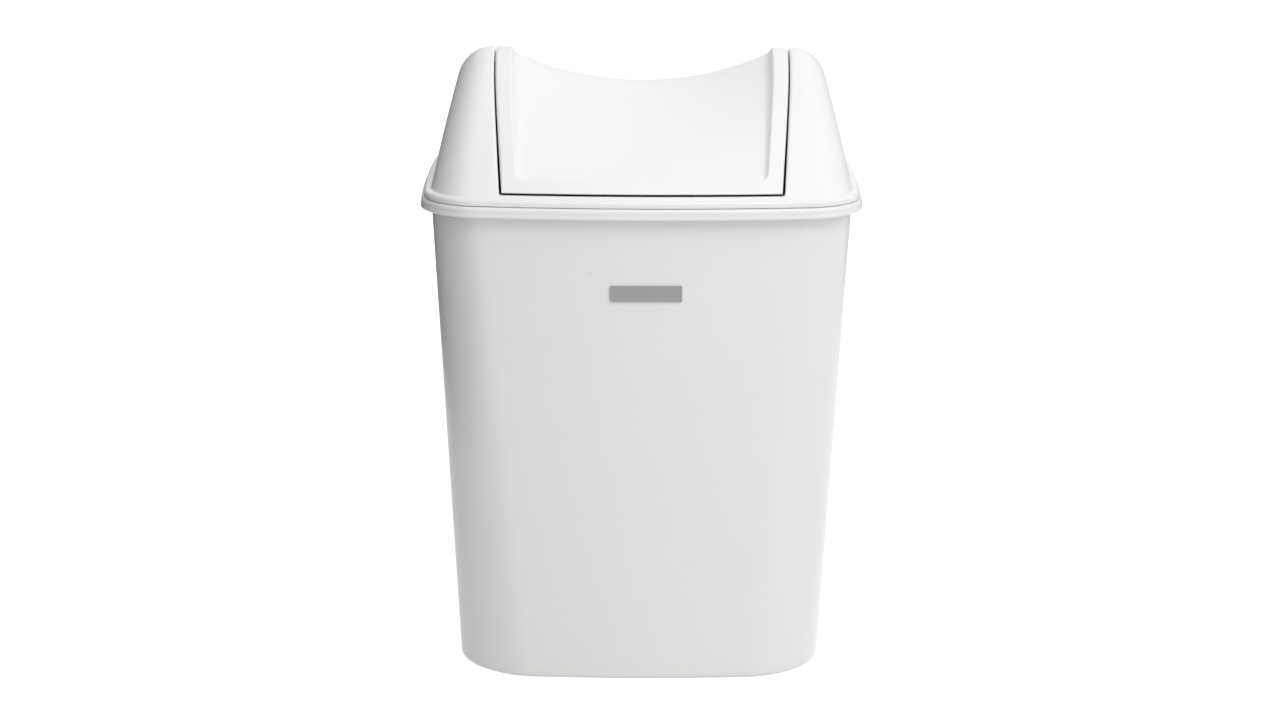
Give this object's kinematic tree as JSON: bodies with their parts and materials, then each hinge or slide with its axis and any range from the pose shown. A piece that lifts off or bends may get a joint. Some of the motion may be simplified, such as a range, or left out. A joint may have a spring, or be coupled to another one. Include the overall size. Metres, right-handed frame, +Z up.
{
  "type": "sanitary container",
  "caption": "Tapered white plastic hygiene bin with a turned-over rim, a lift-off hood and a saddle-shaped flap that rocks between hollow cheeks.",
  "frame": {"origin": "centre of the flat base, on the surface that the bin stands on", "axes": "+Z up, the face with the plate looks along -Y, +X to the right seen from the front"},
  "size_m": [0.2304, 0.159, 0.33],
  "materials": {
    "container_white": "smooth, slightly glossy",
    "hood_white": "fine satin",
    "flap_white": "fine satin",
    "plate_grey": "matt",
    "pin_nylon": "matt"
  },
  "bodies": {
    "bin": {"container": "container_white", "label_plate": "plate_grey"},
    "hood": {"lid_hood": "hood_white"},
    "flap": {"swing_flap": "flap_white", "pivot_pin_left": "pin_nylon", "pivot_pin_right": "pin_nylon"}
  },
  "joints": [
    {"name": "hood_lift", "type": "slide", "parent": "bin", "child": "hood", "axis": [0, 0, 1], "range_m": [0, 0.12]},
    {"name": "flap_swing", "type": "hinge", "parent": "hood", "child": "flap", "pos_m": [0, 0, 0.312], "axis": [1, 0, 0], "range_deg": [-50, 50]}
  ]
}
